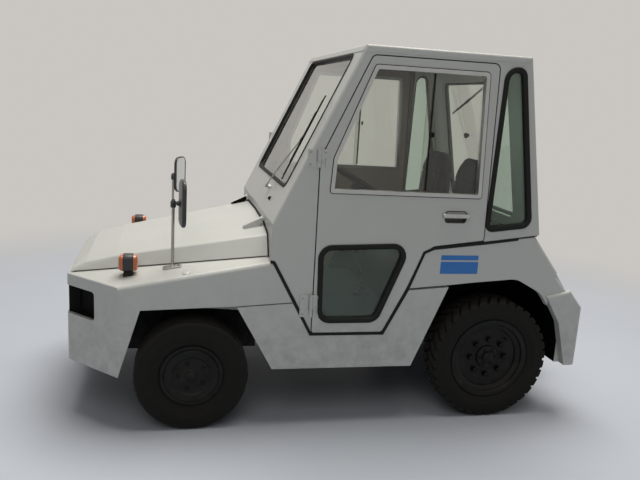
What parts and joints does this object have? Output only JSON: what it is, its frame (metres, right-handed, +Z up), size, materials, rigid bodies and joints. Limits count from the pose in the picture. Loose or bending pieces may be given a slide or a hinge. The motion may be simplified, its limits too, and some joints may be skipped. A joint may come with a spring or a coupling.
{
  "type": "airport baggage towing tractor",
  "caption": "Four-wheeled baggage towing tractor with a closed two-seat cab, sloping hood, steerable front wheels, two hinged doors and a rear tow jaw.",
  "frame": {"origin": "on the ground, in the middle of the whole tug's length and width", "axes": "+X forward along the tug, +Y to its left, +Z up"},
  "size_m": [2.97, 1.442, 2.01],
  "materials": {
    "body_paint": "semi-gloss light grey enamel",
    "black_paint": "satin black enamel",
    "wheel_paint": "satin black enamel",
    "tyre": "matt",
    "engine_iron": "painted casting",
    "grille_plastic": "matt black",
    "lamp_glass": "clear lens",
    "red_lens": "moulded lens",
    "amber_lens": "moulded lens",
    "floor_mat": "ribbed mat",
    "interior_paint": "dark grey enamel",
    "dash_plastic": "grained",
    "seat_vinyl": "black seat vinyl",
    "window_glass": "lightly tinted",
    "mirror_plastic": "satin black",
    "wheel_plastic": "grained",
    "frame_aluminium": "satin anodised",
    "handle_chrome": "polished"
  },
  "bodies": {
    "body": {"chassis": "black_paint", "engine_block": "engine_iron", "front_axle": "black_paint", "rear_axle": "black_paint", "nose": "body_paint", "grille": "grille_plastic", "headlamps": "lamp_glass", "front_fenders": "body_paint", "side_skirts": "body_paint", "quarter_panels": "body_paint", "tail": "body_paint", "corner_guards": "body_paint", "rear_lamps": "red_lens", "hitch": "black_paint", "cab_frame": "body_paint", "roof": "body_paint", "cab_floor": "floor_mat", "seat_box": "interior_paint", "dashboard": "dash_plastic", "steering_column": "black_paint", "seat_left": "seat_vinyl", "seat_right": "seat_vinyl", "cab_glass": "window_glass", "front_signals": "amber_lens", "mirrors": "mirror_plastic", "wipers": "black_paint"},
    "steering_wheel": {"steering_wheel": "wheel_plastic"},
    "hood": {"hood": "body_paint"},
    "door_left": {"door_left": "body_paint", "window_frame_left": "frame_aluminium", "door_glass_left": "window_glass", "door_handle_left": "handle_chrome"},
    "door_right": {"door_right": "body_paint", "window_frame_right": "frame_aluminium", "door_glass_right": "window_glass", "door_handle_right": "handle_chrome"},
    "knuckle_left": {"knuckle_left": "black_paint"},
    "knuckle_right": {"knuckle_right": "black_paint"},
    "wheel_front_left": {"wheel_front_left": "wheel_paint", "tyre_front_left": "tyre"},
    "wheel_front_right": {"wheel_front_right": "wheel_paint", "tyre_front_right": "tyre"},
    "wheel_rear_left": {"wheel_rear_left": "wheel_paint", "tyre_rear_left": "tyre"},
    "wheel_rear_right": {"wheel_rear_right": "wheel_paint", "tyre_rear_right": "tyre"}
  },
  "joints": [
    {"name": "steer_left", "type": "hinge", "parent": "body", "child": "knuckle_left", "pos_m": [0.847, 0.45, 0.294], "axis": [0, 0, 1], "range_deg": [-35, 35]},
    {"name": "steer_right", "type": "hinge", "parent": "body", "child": "knuckle_right", "pos_m": [0.847, -0.45, 0.294], "axis": [0, 0, 1], "range_deg": [-35, 35]},
    {"name": "steering_wheel_turn", "type": "hinge", "parent": "body", "child": "steering_wheel", "pos_m": [-0.102, 0.28, 1.272], "axis": [-0.5, 0, 0.866], "range_deg": [-490, 490]},
    {"name": "spin_front_left", "type": "hinge", "parent": "knuckle_left", "child": "wheel_front_left", "pos_m": [0.847, 0.612, 0.294], "axis": [0, 1, 0], "continuous": true},
    {"name": "spin_front_right", "type": "hinge", "parent": "knuckle_right", "child": "wheel_front_right", "pos_m": [0.847, -0.612, 0.294], "axis": [0, 1, 0], "continuous": true},
    {"name": "spin_rear_left", "type": "hinge", "parent": "body", "child": "wheel_rear_left", "pos_m": [-0.818, 0.605, 0.345], "axis": [0, 1, 0], "continuous": true},
    {"name": "spin_rear_right", "type": "hinge", "parent": "body", "child": "wheel_rear_right", "pos_m": [-0.818, -0.605, 0.345], "axis": [0, 1, 0], "continuous": true},
    {"name": "door_left_swing", "type": "hinge", "parent": "body", "child": "door_left", "pos_m": [0.244, 0.712, 1], "axis": [0, 0, -1], "range_deg": [0, 75]},
    {"name": "door_right_swing", "type": "hinge", "parent": "body", "child": "door_right", "pos_m": [0.244, -0.712, 1], "axis": [0, 0, 1], "range_deg": [0, 75]},
    {"name": "hood_lift", "type": "hinge", "parent": "body", "child": "hood", "pos_m": [0.476, 0, 1.079], "axis": [0, -1, 0], "range_deg": [0, 55]}
  ],
  "couplings": [
    {"joint": "steer_right", "follows": "steer_left", "ratio": 1},
    {"joint": "steering_wheel_turn", "follows": "steer_left", "ratio": 14}
  ]
}
